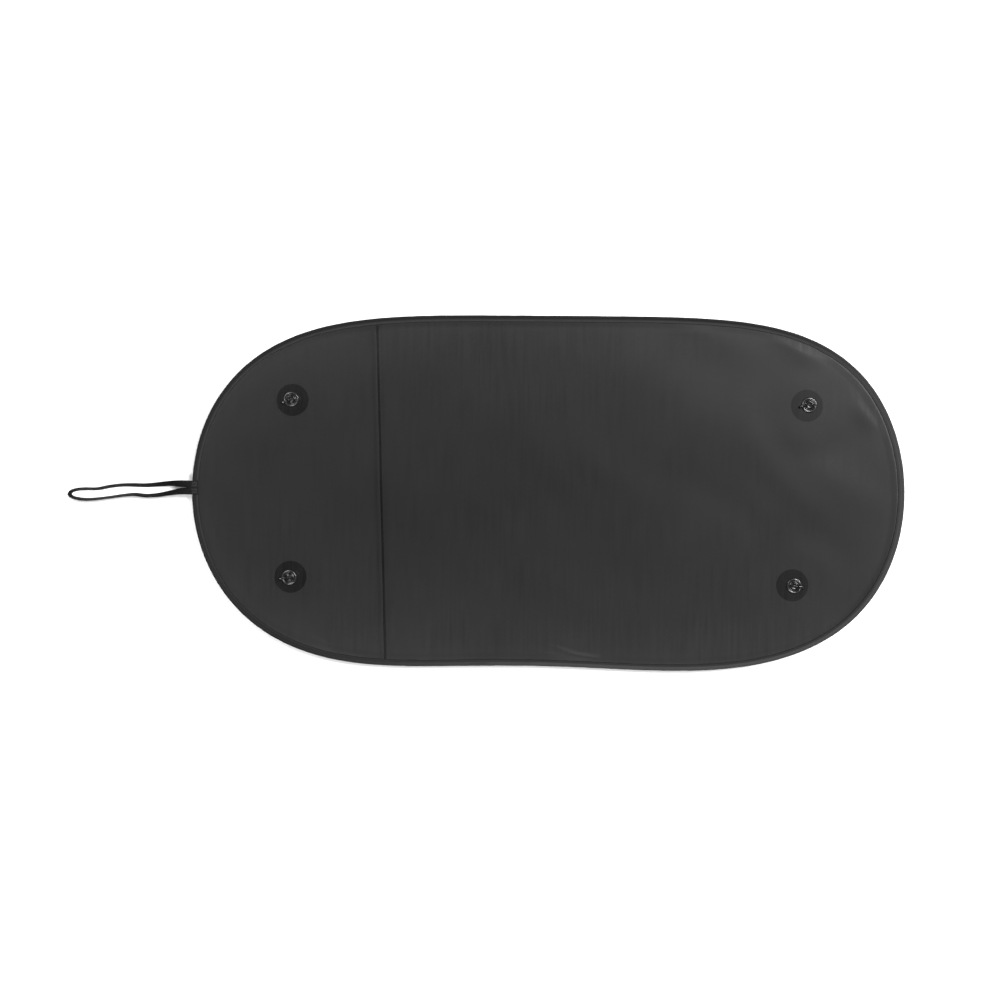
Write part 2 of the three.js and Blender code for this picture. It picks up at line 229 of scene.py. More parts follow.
EDGE_LINE = oval(FERRULE_ANGLE + np.linspace(0, 2 * math.pi, 40001))
EDGE_RUN = distances(EDGE_LINE)
EDGE_LENGTH = EDGE_RUN[-1]


def edge_stations(count):
    """Points, inward directions and distances at equal steps round the edge, from the ferrule."""
    at = np.arange(count) / count * EDGE_LENGTH
    point = points_at(at, EDGE_RUN, EDGE_LINE)
    ahead = np.roll(point, -1, 0) - np.roll(point, 1, 0)
    ahead /= np.linalg.norm(ahead, axis=1)[:, None]
    return point, np.stack([-ahead[:, 1], ahead[:, 0]], 1), at


# Materials
WALE_PITCH = 0.0013
TIE_PITCH = 0.0016
RIB_PITCH = 0.0008
WARP_PITCH = 0.00045
PLY_PITCH = 0.00045
BINDING_RIM = 0.0105  # distance across the binding's tape to the fold over the wire
BEAD_END = (0.0058, 0.0078)  # distances from that fold, between which the bead turns into the leaf


def grey(level, blue=None):
    """A neutral colour, or one with its own level of blue."""
    return (level, level, level if blue is None else blue)


class Finish:
    """A material under construction, with short calls for its nodes."""

    def __init__(self, name, **sockets):
        self.material = bpy.data.materials.new(name)
        self.material.use_nodes = True
        self.tree = self.material.node_tree
        self.shader = self.tree.nodes["Principled BSDF"]
        for key, value in sockets.items():
            self.shader.inputs[key.replace("_", " ")].default_value = value

    def node(self, kind, **settings):
        made = self.tree.nodes.new(kind)
        for key, value in settings.items():
            setattr(made, key, value)
        return made

    def link(self, source, target):
        self.tree.links.new(source, target)

    def coords(self, kind, scale=(1, 1, 1)):
        source = self.node("ShaderNodeTexCoord")
        mapping = self.node("ShaderNodeMapping")
        mapping.inputs["Scale"].default_value = scale
        self.link(source.outputs[kind], mapping.inputs["Vector"])
        return mapping.outputs["Vector"]

    def math(self, operation, a, b=None, clamp=False):
        made = self.node("ShaderNodeMath", operation=operation, use_clamp=clamp)
        for socket, value in zip(made.inputs, (a, b)):
            if value is None:
                continue
            if isinstance(value, (int, float)):
                socket.default_value = value
            else:
                self.link(value, socket)
        return made.outputs[0]

    def times(self, a, b):
        return self.math("MULTIPLY", a, b)

    def plus(self, a, b, clamp=False):
        return self.math("ADD", a, b, clamp)

    def axes(self, vector):
        made = self.node("ShaderNodeSeparateXYZ")
        self.link(vector, made.inputs[0])
        return made.outputs

    def noise(self, vector, scale=1.0, detail=2.0, roughness=0.5):
        made = self.node("ShaderNodeTexNoise")
        made.inputs["Scale"].default_value = scale
        made.inputs["Detail"].default_value = detail
        made.inputs["Roughness"].default_value = roughness
        self.link(vector, made.inputs["Vector"])
        return made.outputs["Fac"]

    def threads(self, value, pitch, sharpness):
        """Ridges one pitch apart, from 0 between them to 1 on them."""
        wave = self.math("ABSOLUTE", self.math("COSINE", self.times(value, math.pi / pitch)))
        return self.math("POWER", wave, sharpness)

    def outwards(self, value, half, power):
        """From 0 in the middle to 1 at the half size, by a power of the distance."""
        share = self.math("ABSOLUTE", self.math("DIVIDE", value, half))
        return self.math("POWER", share, power)

    def ramp(self, value, low, high, start=0.0, end=1.0):
        """A colour from low to high as the value goes from start to end."""
        made = self.node("ShaderNodeValToRGB")
        made.color_ramp.elements[0].position = start
        made.color_ramp.elements[1].position = end
        made.color_ramp.elements[0].color = (*low, 1)
        made.color_ramp.elements[1].color = (*high, 1)
        self.link(value, made.inputs["Fac"])
        return made.outputs["Color"]

    def span(self, value, low, high):
        """Straight from low to high as the value goes from 0 to 1."""
        made = self.node("ShaderNodeMapRange")
        made.inputs["To Min"].default_value = low
        made.inputs["To Max"].default_value = high
        self.link(value, made.inputs["Value"])
        return made.outputs["Result"]

    def between(self, value, start, end, low=0.0, high=1.0):
        """A smooth step from low to high as the value goes from start to end."""
        made = self.node("ShaderNodeMapRange", interpolation_type="SMOOTHSTEP")
        made.inputs["From Min"].default_value = start
        made.inputs["From Max"].default_value = end
        made.inputs["To Min"].default_value = low
        made.inputs["To Max"].default_value = high
        self.link(value, made.inputs["Value"])
        return made.outputs["Result"]

    def bump(self, height, distance, strength):
        made = self.node("ShaderNodeBump")
        made.inputs["Distance"].default_value = distance
        made.inputs["Strength"].default_value = strength
        self.link(height, made.inputs["Height"])
        self.link(made.outputs["Normal"], self.shader.inputs["Normal"])

    def colour(self, output):
        self.link(output, self.shader.inputs["Base Color"])

    def rough(self, output):
        self.link(output, self.shader.inputs["Roughness"])

    def paint(self, obj):
        obj.data.materials.clear()
        obj.data.materials.append(self.material)


def mesh_cloth():
    """Warp-knit mesh: wales down the short side, thinner ties across, painted paler towards the rim.
    """
    f = Finish("mesh_cloth", Alpha=0.907, Specular_IOR_Level=0.086)
    x, y, _ = f.axes(f.coords("Object"))
    wale = f.threads(x, WALE_PITCH, sharpness=4.0)
    tie = f.times(f.threads(y, TIE_PITCH, sharpness=6.0), 0.7)
    knit = f.math("MAXIMUM", wale, tie)
    streak = f.noise(f.coords("Object", (320, 12, 1)), detail=3.0)
    cloud = f.noise(f.coords("Object", (7, 9, 1)), detail=3.0)
    tone = f.plus(f.times(streak, 0.6), f.times(cloud, 0.4))
    # Painted light: the cloth's colour grows paler towards the rim and the tips, standing in for
    # light that reaches under the raised rim and shows through the mesh.
    length = f.outwards(x, HALF_LENGTH, power=2.5)
    width = f.outwards(y, HALF_WIDTH, power=2.0)
    painted_rim_light = f.plus(f.times(length, 0.55), width, clamp=True)
    shade = f.times(f.span(knit, 0.35, 1.0), f.span(tone, 0.2, 1.5))
    shade = f.times(shade, f.span(painted_rim_light, 0.08, 0.9))
    f.colour(f.ramp(shade, grey(0.0003), grey(0.0125, 0.0127)))
    f.rough(f.span(tone, 0.18, 0.62))
    f.bump(f.plus(knit, f.times(streak, 0.4)), distance=0.00004, strength=0.5)
    return f


def woven_tape(name, low, high, fold=None):
    """Woven tape: ribs across it and a fine warp along it.

    A tape folded over the wire at the distance fold across it has painted light: its bead is painted
    palest at the lower right, and its leaf paler in the upper half, where light from the lower right
    falls. A tape folded over the wire at the distance fold across it has tones tuned to the photo,
    and they may be its light: the bead is palest at the lower right, the leaf in the upper half.
    """
    f = Finish(name, Specular_IOR_Level=0.1)
    u, v, _ = f.axes(f.coords("UV"))
    rib = f.threads(u, RIB_PITCH, sharpness=1.2)
    warp = f.threads(v, WARP_PITCH, sharpness=1.2)
    weave = f.times(f.span(rib, 0.45, 1.0), f.span(warp, 0.6, 1.0))
    wear = f.noise(f.coords("Object", (60, 60, 60)), detail=4.0)
    tone = f.times(weave, f.span(wear, 0.7, 1.25))
    if fold:
        # Painted light: the bead's tone rises towards the lower right and the leaf's towards the
        # upper half, as light from the lower right falls on them.
        x, y, _ = f.axes(f.coords("Object"))
        lower = f.times(y, -1.0)
        lower_right = f.plus(f.times(x, 2.0), f.times(lower, 2.8))
        bead = f.between(lower_right, -0.2, 0.9, low=0.27, high=1.35)
        leaf = f.between(lower, 0.0, 0.2, low=0.67, high=0.32)
        from_fold = f.math("ABSOLUTE", f.math("SUBTRACT", v, fold))
        on_leaf = f.between(from_fold, *BEAD_END)
        step = f.times(f.math("SUBTRACT", leaf, bead), on_leaf)
        tone = f.times(tone, f.plus(bead, step))
    f.colour(f.ramp(tone, low, high))
    f.rough(f.span(wear, 0.5, 0.68))
    f.bump(weave, distance=0.0001, strength=0.7)
    return f


def sewing_thread():
    """Two-ply thread."""
    f = Finish("sewing_thread", Roughness=0.55, Specular_IOR_Level=0.35, Sheen_Weight=0.1)
    u, v, _ = f.axes(f.coords("UV"))
    ply = f.threads(f.plus(u, f.times(v, 0.6)), PLY_PITCH, sharpness=1.0)
    f.colour(f.ramp(ply, grey(0.008), grey(0.032, 0.033)))
    f.bump(ply, distance=0.00005, strength=0.6)
    return f


def black_pvc():
    """Soft glossy PVC with a faint bloom and a fine grain."""
    f = Finish("black_pvc", Specular_IOR_Level=0.22, Coat_Weight=0.06, Coat_Roughness=0.06)
    bloom = f.noise(f.coords("Object", (140, 140, 140)), detail=5.0, roughness=0.6)
    fine = f.noise(f.coords("Object", (900, 900, 900)))
    f.colour(f.ramp(bloom, grey(0.0006), grey(0.003, 0.0031), start=0.3, end=0.8))
    f.rough(f.span(bloom, 0.12, 0.24))
    f.bump(f.plus(f.times(bloom, 0.7), f.times(fine, 0.3)), distance=0.00004, strength=0.05)
    return f


def black_enamel():
    """Glossy black enamel on pressed sheet, rubbed in small spots."""
    f = Finish("black_enamel", Specular_IOR_Level=0.5, Coat_Weight=0.15, Coat_Roughness=0.08)
    rub = f.noise(f.coords("Object", (420, 420, 420)), detail=4.0, roughness=0.6)
    f.colour(f.ramp(rub, grey(0.004, 0.0041), grey(0.015, 0.0153), start=0.3, end=0.75))
    f.rough(f.span(rub, 0.15, 0.22))
    f.bump(rub, distance=0.00002, strength=0.02)
    return f


def drawn_metal(name, low, high, roughness):
    """Bright metal with fine drawing lines."""
    f = Finish(name, Metallic=1.0)
    lines = f.noise(f.coords("Object", (900, 900, 4000)), detail=3.0)
    f.colour(f.ramp(lines, low, high))
    f.rough(f.span(lines, roughness, roughness + 0.15))
    f.bump(lines, distance=0.00003, strength=0.3)
    return f


cloth_finish = mesh_cloth()
binding_finish = woven_tape("binding_tape", grey(0.0006), grey(0.033, 0.0333), BINDING_RIM)
loop_finish = woven_tape("loop_tape", grey(0.0004), grey(0.0048, 0.0049))
thread_finish = sewing_thread()
pvc_finish = black_pvc()
enamel_finish = black_enamel()
steel_finish = drawn_metal("spring_steel", (0.32, 0.33, 0.34), (0.55, 0.56, 0.57), 0.25)
brass_finish = drawn_metal("crimp_brass", (0.45, 0.36, 0.16), (0.66, 0.55, 0.28), 0.3)


def finished(obj, finish, body="shade"):
    """Paints a piece and lets it ride on its body."""
    finish.paint(obj)
    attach(obj, body)
    return obj


# Camera
CAMERA_PLACE = (-0.0677, -0.0106, CLOTH_Z + 1.949)
CAMERA_TURN = math.radians(0.41)

camera_data = bpy.data.cameras.new("camera")
camera_data.lens = 50
camera_data.sensor_width = 36
camera_data.clip_end = 50
camera = bpy.data.objects.new("camera", camera_data)
camera.location = CAMERA_PLACE
camera.rotation_euler = (0, 0, CAMERA_TURN)
bpy.context.scene.collection.objects.link(camera)
bpy.context.scene.camera = camera

# Tape loop
TAPE_WIDTH = 0.009
TAPE_THICKNESS = 0.0009
LOOP_STEPS = 420
LOOP_STAND = math.radians(69)  # how far the free tape turns up on its edge
LOOP_TWIST = 0.038  # length in which it does most of that
LOOP_SEWN = 0.012
LOOP_WOBBLE = 0.06
LOOP_SPREAD = 0.1  # how much wider the sewn ends are pressed
LOOP_SPREAD_ENDS = (0.008, 0.028)  # free lengths between which that wears off
TAPE_FLAT = 0.93  # share of the half width that is face
TAPE_MIDDLE = 0.86  # thickness in the middle, as a share of that at the edges
TAPE_EDGE = 0.6  # share of the half thickness where the round edges begin


def tape_section():
    """Half-round edges and a slightly hollow middle, as [across, through] points."""
    w, t = TAPE_WIDTH / 2, TAPE_THICKNESS / 2
    k = np.linspace(-1, 1, 9)
    face = np.stack([w * TAPE_FLAT * k, t * (TAPE_MIDDLE + (1 - TAPE_MIDDLE) * k * k)], 1)
    edge = np.array([(w, t * TAPE_EDGE), (w, 0), (w, -t * TAPE_EDGE)])
    half = np.vstack([face, edge])
    return np.vstack([half, -half])


def strap_loop():
    """The loop's tape along its route, flat where it is sewn and on its edge where it is free."""
    route, length = smooth_path(LOOP_ROUTE, LOOP_STEPS)
    section = tape_section()
    ahead = np.gradient(route, axis=0)
    ahead /= np.linalg.norm(ahead, axis=1)[:, None]
    s = np.linspace(0, length, LOOP_STEPS + 1)
    free = np.maximum(0, np.minimum(s, length - s) - LOOP_SEWN)
    stand = LOOP_STAND * (1 - np.exp(-free / LOOP_TWIST))
    stand += LOOP_WOBBLE * wobble(s, length, 0.022, seed=3, periodic=False) * fade(0, 0.03, free)
    outward = np.stack([ahead[:, 1], -ahead[:, 0], 0 * s], 1)
    outward /= np.linalg.norm(outward, axis=1)[:, None]
    across = np.cos(stand)[:, None] * outward + np.sin(stand)[:, None] * np.array([0, 0, 1.0])
    across -= np.sum(across * ahead, 1)[:, None] * ahead
    across /= np.linalg.norm(across, axis=1)[:, None]
    through = np.cross(ahead, across)
    spread = 1 + LOOP_SPREAD * (1 - fade(*LOOP_SPREAD_ENDS, free))
    rings = (
        route[:, None]
        + section[None, :, :1] * (spread[:, None] * across)[:, None]
        + section[None, :, 1:] * through[:, None]
    )
    first, last = (np.broadcast_to(ring.mean(0), (1, *ring.shape)) for ring in rings[[0, -1]])
    rings = np.concatenate([first, rings, last])[:, ::-1]
    along = np.concatenate([[0], s, [length, length]])
    strap = grid_object("tape_loop", rings, False, True, along, distances(section, closed=True))
    finished(strap, loop_finish)
    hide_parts("strap_loop")
    return strap, route, length, across, through


strap, strap_route, strap_length, strap_across, strap_through = strap_loop()

# Cloth panel

# A pair named INSIDE holds the two depths inside the oval between which a form fades in.
SLACK = 0.0009
SLACK_WAVES = (0.31, 0.19)  # wavelengths along x and y
SLACK_INSIDE = (0.1, 0.5)
CUP_HOLD = (0.045, 0.09)  # distances from a cup's axis between which the cloth comes free
CREASE_DENT = 0.0005
CREASE_REACH = 0.003
CREASE_INSIDE = (0.08, 0.16)
RIPPLE = 0.00016
RIPPLE_INSIDE = (0.03, 0.3)
PUCKER_INSIDE = (0.0, 0.18)
PUCKER_FLANK = 2.2  # how much gentler a pucker's far side is
PUCKERS = [
    # x, y, direction in degrees, half length, half width, height
    (0.358, 0.199, 158, 0.036, 0.0075, 0.0011),
    (0.334, 0.213, 166, 0.030, 0.0040, 0.0006),
    (0.446, 0.110, 128, 0.030, 0.0065, 0.0008),
    (0.055, -0.231, 172, 0.036, 0.0045, 0.0019),
    (0.020, -0.221, 165, 0.030, 0.0045, 0.0010),
    (-0.318, -0.214, 152, 0.030, 0.0050, 0.0019),
    (-0.270, -0.229, 166, 0.030, 0.0045, 0.0012),
    (0.205, 0.232, 176, 0.040, 0.0050, 0.0006),
]

RIM_STATIONS = 900
GRID_STEP = 0.0042
GRID_HALF = (0.51, 0.26)  # the even rows cover a rectangle a little larger than the oval
GRID_INSIDE = 0.035
TIP_CLEAR = 0.0075
CREASE_HALF = 0.25
CREASE_CLEAR = 0.0045  # strip along the crease that has its own, finer points
CREASE_STEP = 0.003
CREASE_OFFSETS = (-0.0034, -0.0021, -0.0010, 0, 0.0010, 0.0021, 0.0034)
PUCKER_STEP = 0.0021
PUCKER_NUDGE = 1e-5  # keeps their points off those of the even rows
RIM_CLEAR = 0.0026
HOLE_CLEAR = 0.0008
HOLE_SIDES = 40
HOLE_INSCRIBED = 0.985  # a hole's faces have their middles within this share of its radius
FOLD_ENDS = (-0.2405, 0.2425)
FOLD_STATIONS = 240
FOLD_UNEVEN = 0.12
FOLD_LIFT = 0.0004
INSIDE_ONLY = 1  # the triangulation's output: only what the loops enclose
MERGE_DISTANCE = 1e-7


def crease_line(y):
    """The x of the pressed crease."""
    return CREASE_X - CREASE_LEAN * y


def cloth_height(x, y):
    """Height of the cloth: slack between its fixings, the crease, the puckers and a ripple."""
    inside = depth_inside(x, y)
    freedom = fade(*SLACK_INSIDE, inside)
    for cx, cy, _ in CUPS.values():
        freedom = freedom * fade(*CUP_HOLD, np.hypot(x - cx, y - cy))
    slack = np.sin(2 * math.pi * x / SLACK_WAVES[0]) * np.cos(2 * math.pi * y / SLACK_WAVES[1])
    dent = np.maximum(0, 1 - np.abs(x - crease_line(y)) / CREASE_REACH)
    z = CLOTH_Z + SLACK * freedom * slack - CREASE_DENT * fade(*CREASE_INSIDE, inside) * dent
    off_rim = fade(*PUCKER_INSIDE, inside)
    for px, py, direction, length, width, height in PUCKERS:
        a = math.radians(direction)
        u = (x - px) * math.cos(a) + (y - py) * math.sin(a)
        v = -(x - px) * math.sin(a) + (y - py) * math.cos(a)
        flank = width * np.where(v < 0, 1, PUCKER_FLANK)
        z = z + off_rim * height * np.exp(-((u / length) ** 2) * 2 - (v / flank) ** 2)
    ripple = np.sin(x * 61 + 2.1 * np.sin(y * 23)) * np.sin(y * 47 + 1.7 * np.sin(x * 19))
    return z + RIPPLE * ripple * fade(*RIPPLE_INSIDE, inside)


def cloth_points(rim):
    """Even points over the cloth, finer along the crease and the puckers, off rim and holes."""
    rows = []
    reach_x, reach_y = GRID_HALF
    for k, y in enumerate(np.arange(-reach_y, reach_y, GRID_STEP * math.sqrt(3) / 2)):
        x = np.arange(-reach_x, reach_x, GRID_STEP) + (k % 2) * GRID_STEP / 2
        rows.append(np.stack([x, np.full_like(x, y)], 1))
    points = np.vstack(rows)
    off_crease = np.abs(points[:, 0] - crease_line(points[:, 1]))
    parts = [points[off_crease > CREASE_CLEAR]]
    y = np.arange(-CREASE_HALF, CREASE_HALF, CREASE_STEP)
    for offset in CREASE_OFFSETS:
        parts.append(np.stack([crease_line(y) + offset, y], 1))
    for px, py, direction, length, width, _ in PUCKERS:
        a = math.radians(direction)
        u, v = (axis.ravel() for axis in np.meshgrid(
            np.arange(-length, length, PUCKER_STEP),
            np.arange(-2 * width, 2 * width, PUCKER_STEP)))
        x = px + u * math.cos(a) - v * math.sin(a)
        y = py + u * math.sin(a) + v * math.cos(a)
        parts.append(np.stack([x, y], 1) + PUCKER_NUDGE)
    points = np.vstack(parts)
    inside = depth_inside(points[:, 0], points[:, 1])
    off_tips = np.abs(points[:, 0]) < HALF_LENGTH - TIP_CLEAR
    points = points[(inside > GRID_INSIDE) & off_tips]
    gap = np.full(len(points), 1.0)
    for station in rim[::3]:
        gap = np.minimum(gap, np.hypot(*(points - station).T))
    points = points[gap > RIM_CLEAR]
    for cx, cy, _ in CUPS.values():
        off_hole = np.hypot(points[:, 0] - cx, points[:, 1] - cy) - HOLE_RADIUS
        points = points[off_hole > HOLE_CLEAR]
    return points


def cloth_panel():
    """One layer of cloth with its four holes, and the area that it is cut to."""
    rim, inward, _ = edge_stations(RIM_STATIONS)
    rim = rim + inward * PANEL_INSET
    a = np.linspace(0, 2 * math.pi, HOLE_SIDES, endpoint=False)
    hole = HOLE_RADIUS * np.stack([np.cos(a), np.sin(a)], 1)
    loops = [rim] + [np.array([cx, cy]) + hole for cx, cy, _ in CUPS.values()]
    edges = []
    start = 0
    for loop in loops:
        count = len(loop)
        edges += [(start + k, start + (k + 1) % count) for k in range(count)]
        start += count
    flat = [Vector(p) for p in np.vstack(loops + [cloth_points(rim)])]
    made = delaunay_2d_cdt(flat, edges, [], INSIDE_ONLY, MERGE_DISTANCE)
    xy = np.array([v[:] for v in made[0]])
    faces = np.array(made[2])
    for cx, cy, _ in CUPS.values():
        centre = xy[faces].mean(1)
        from_hole = np.hypot(centre[:, 0] - cx, centre[:, 1] - cy)
        faces = faces[from_hole > HOLE_RADIUS * HOLE_INSCRIBED]
    a, b, c = (xy[faces[:, k]] for k in range(3))
    turn = (b - a)[:, 0] * (c - a)[:, 1] - (b - a)[:, 1] * (c - a)[:, 0]
    faces[turn < 0] = faces[turn < 0][:, ::-1]
    points = np.column_stack([xy, cloth_height(xy[:, 0], xy[:, 1])])
    uv = xy[faces.ravel()] + 0.5
    cloth = mesh_object("mesh_cloth_panel", points, faces.tolist(), uv)
    return cloth, float(np.abs(turn).sum() / 2)


def pressed_fold():
    """The narrow pleat that storage has pressed into the cloth, one layer over the panel."""
    y = np.linspace(*FOLD_ENDS, FOLD_STATIONS)
    section = 1e-3 * np.array([
        [-2.0, 0.03], [-1.1, 0.26], [0.7, 0.33], [1.0, 0.24], [0.75, 0.13], [-0.9, 0.1]])
    uneven = wobble(y + CREASE_HALF, 2 * CREASE_HALF, 0.03, seed=11, periodic=False)
    width = 1 + FOLD_UNEVEN * uneven
    rings = np.stack([
        crease_line(y)[:, None] + section[None, :, 0] * width[:, None],
        np.broadcast_to(y[:, None], (len(y), len(section))),
        cloth_height(crease_line(y), y)[:, None] + FOLD_LIFT + section[None, :, 1],
    ], 2)
    return grid_object("pressed_fold", rings, False, False, y, distances(section))


panel, panel_area = cloth_panel()
finished(panel, cloth_finish)
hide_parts("mesh_panel")
fold = finished(pressed_fold(), cloth_finish)

# Edge binding
BINDING_STATIONS = 1700
CAVITY_RADIUS = 0.0015
SWELL_ENDS = (FERRULE_HALF * 0.7, FERRULE_HALF + 0.006)  # from the middle of the ferrule
BEAD_ENDS = (0.0032, 0.0052)  # insets between which the tape leaves the wire
LEAF_STARTS = (0.0045, 0.0075)  # insets between which it comes loose from the cloth
LOOSE_EDGE = (0.006, 0.009)  # insets between which its edge wanders more and more
RIM_BAND = (0, 0.002)
LEAF_LIFT = 0.00022  # how far the loose tape stands up in places
SLOW_WANDER = 0.00022
FINE_WANDER = 0.00012
RIM_WANDER = 0.00012
STITCH_INSET = 0.0074
STITCH_PITCH = 0.0031
STITCH_LIFT = 0.00009
STITCH_REACH = 0.0006
STITCH_HEIGHT = 0.0012
STITCH_WANDER = 0.00012
STITCH_GAP = 0.1  # share of the pitch at each end of a stitch
THREAD_RINGS = 7
THREAD_SIDES = 6
THREAD_UV = 0.001  # length in the UVs once round a thread


def binding_outer():
    """Upper half of the tape's outer face, as [inset, height] from its inner edge to the rim."""
    return 1e-3 * np.array([
        [9.0, 0.52], [9.03, 0.74], [8.9, 0.9], [8.5, 1.0], [8.1, 1.03], [7.75, 0.97], [7.4, 0.9],
        [7.05, 0.97], [6.7, 1.05], [6.2, 1.08], [5.6, 1.08], [5.0, 1.1], [4.5, 1.16], [4.05, 1.3],
        [3.65, 1.5], [3.3, 1.72], [2.9, 1.9], [2.45, 1.99], [2.0, 2.0], [1.5, 1.94], [1.0, 1.73],
        [0.59, 1.42], [0.27, 1.0], [0.07, 0.52],
    ])


def binding_inner():
    """Upper half of the tape's inner face, from the wire's cavity to the inner edge."""
    a = np.radians(np.linspace(180, 25, 9))
    cavity = np.stack([BEAD_RADIUS + CAVITY_RADIUS * np.cos(a), CAVITY_RADIUS * np.sin(a)], 1)
    return np.vstack([cavity, [[0.0045, 0.00056], [0.0068, 0.00046], [0.0088, 0.0004]]])


def edge_binding():
    """The tape folded over wire and cloth, round at the wire and flat towards its sewn edge."""
    point, inward, s = edge_stations(BINDING_STATIONS)
    upper, inner = binding_outer(), binding_inner()
    section = np.vstack([
        upper, [[0, 0]], upper[::-1] * [1, -1], inner[::-1] * [1, -1], inner[1:]])
    inset = section[None, :, 0].repeat(BINDING_STATIONS, 0)
    height = section[None, :, 1].repeat(BINDING_STATIONS, 0)
    from_ferrule = np.minimum(s, EDGE_LENGTH - s)
    swell = 1 - fade(*SWELL_ENDS, from_ferrule)
    bead = 1 - fade(*BEAD_ENDS, inset)
    height = height * (1 + swell[:, None] * bead * FERRULE_SWELL / BEAD_RADIUS)
    leaf = fade(*LEAF_STARTS, inset) * np.sign(height)
    top_bit = 0.5 + 0.5 * wobble(s, EDGE_LENGTH, 0.013, seed=21)
    low_bit = 0.5 + 0.5 * wobble(s, EDGE_LENGTH, 0.013, seed=22)
    stitch = 0.5 - 0.5 * np.cos(2 * math.pi * s / STITCH_PITCH)
    lift = np.where(leaf > 0, top_bit[:, None], low_bit[:, None])
    near_seam = np.exp(-(((inset - STITCH_INSET) / STITCH_REACH) ** 2))
    height = height + leaf * (LEAF_LIFT * lift + STITCH_LIFT * near_seam * stitch[:, None])
    edge_wander = (
        SLOW_WANDER * wobble(s, EDGE_LENGTH, 0.019, seed=23)
        + FINE_WANDER * wobble(s, EDGE_LENGTH, 0.006, seed=24)
    )
    rim_wander = RIM_WANDER * wobble(s, EDGE_LENGTH, 0.011, seed=25)
    inset = inset + fade(*LOOSE_EDGE, inset) * edge_wander[:, None]
    inset = inset + (1 - fade(*RIM_BAND, inset)) * rim_wander[:, None]
    xy = point[:, None] + inset[:, :, None] * inward[:, None]
    rings = np.concatenate([xy, (CLOTH_Z + height)[:, :, None]], 2)
    along = np.append(s, EDGE_LENGTH)
    return grid_object("binding", rings, True, True, along, distances(section, closed=True))


def stitches(name, starts, ends, normals, radius):
    """Short sewn threads, each with its ends dipping into the cloth."""
    rings, sides = THREAD_RINGS, THREAD_SIDES
    t = np.linspace(0, 1, rings)
    a = np.linspace(0, 2 * math.pi, sides, endpoint=False)
    starts, ends, normals = (np.asarray(v, float) for v in (starts, ends, normals))
    ahead = ends - starts
    length = np.linalg.norm(ahead, axis=1)
    ahead /= length[:, None]
    side = np.cross(normals, ahead)
    rise = 1.5 * np.sin(math.pi * t) ** 0.6 - 1.1
    girth = 0.35 + 0.65 * np.sin(math.pi * t) ** 0.5
    centre = (
        starts[:, None] + (ends - starts)[:, None] * t[None, :, None]
        + normals[:, None] * (rise * radius)[None, :, None]
    )
    ring = (
        np.cos(a)[None, None, :, None] * side[:, None, None]
        + np.sin(a)[None, None, :, None] * normals[:, None, None]
    ) * (girth * radius)[None, :, None, None]
    points = centre[:, :, None] + ring
    k, i, j = (v.ravel() for v in np.meshgrid(
        np.arange(len(starts)), np.arange(rings - 1), np.arange(sides), indexing="ij"))
    here = (k * rings + i) * sides
    ahead_of = here + sides
    next_j = (j + 1) % sides
    faces = np.stack([here + j, here + next_j, ahead_of + next_j, ahead_of + j], 1)
    first = np.arange(len(starts))[:, None] * rings * sides
    caps = np.concatenate([
        first + np.arange(sides)[None, ::-1],
        first + (rings - 1) * sides + np.arange(sides)[None],
    ])
    u0, u1 = i / (rings - 1) * length[k], (i + 1) / (rings - 1) * length[k]
    v0, v1 = j / sides * THREAD_UV, (j + 1) / sides * THREAD_UV
    uv = np.stack([u0, v0, u0, v1, u1, v1, u1, v0], 1).ravel()
    uv = np.concatenate([uv, np.zeros(caps.size * 2)])
    return mesh_object(name, points, faces.tolist() + caps.tolist(), uv)


def hem_stitches():
    """One row of stitches round the binding, seen on both faces."""
    count = int(round(EDGE_LENGTH / STITCH_PITCH))
    point, inward, _ = edge_stations(count * 2)
    row = point + inward * STITCH_INSET
    wander = STITCH_WANDER * np.random.default_rng(seed=31).uniform(-1, 1, len(row))
    row = row + inward * wander[:, None]
    starts, ends, normals = [], [], []
    for face in (1, -1):
        height = CLOTH_Z + face * STITCH_HEIGHT
        for k in range(count):
            a, b = row[2 * k], row[(2 * k + 2) % len(row)]
            gap = STITCH_GAP * (b - a)
            starts.append((*(a + gap), height))
            ends.append((*(b - gap), height))
            normals.append((0, 0, face))
    return stitches("hem_stitches", starts, ends, normals, radius=0.00019)


binding = finished(edge_binding(), binding_finish)
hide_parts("edge_binding")
hem = finished(hem_stitches(), thread_finish)

# Bar tacks of the loop
TACK_ROWS = 9
TACK_START = 0.0012
TACK_PITCH = 0.00075
TACK_SLANT = 0.0006
TACK_INNER = 0.0002
TACK_OUTER = 0.0036
TACK_LIFT = 0.00006


def loop_stitches():
    """Bar tacks over the two sewn ends of the loop."""
    starts, ends, normals = [], [], []
    last = len(strap_route) - 1
    step = strap_length / last
    for side in (0, 1):
        for k in range(TACK_ROWS):
            for half in (-1, 1):
                at = int(round((TACK_START + TACK_PITCH * k) / step))
                here = at if side == 0 else last - at
                there = here + (1 if side == 0 else -1) * int(round(TACK_SLANT / step))
                normal = strap_through[here] * (1 if strap_through[here][2] > 0 else -1)
                lift = normal * (TAPE_THICKNESS / 2 + TACK_LIFT)
                starts.append(strap_route[here] + strap_across[here] * half * TACK_INNER + lift)
                ends.append(strap_route[there] + strap_across[there] * half * TACK_OUTER + lift)
                normals.append(normal)
    return stitches("loop_stitches", starts, ends, normals, radius=0.0002)


tacks = finished(loop_stitches(), thread_finish)


# Suction cups and eyelets
BAR_SIDES = 20
BAR_SQUARENESS = 0.8  # 1 is an ellipse, and less is nearer to a box
BAR_SIDE_UV = 0.0005
ROLL_CENTRE = (0.00915, 0.01458)
ROLL_RADII = (0.00185, 0.00187)
ROLL_INNER = 0.0074


def rounded(points, steps):
    """A smooth profile through the points, which are in millimetres."""
    return smooth_path(np.asarray(points, float) * 1e-3, steps)[0]


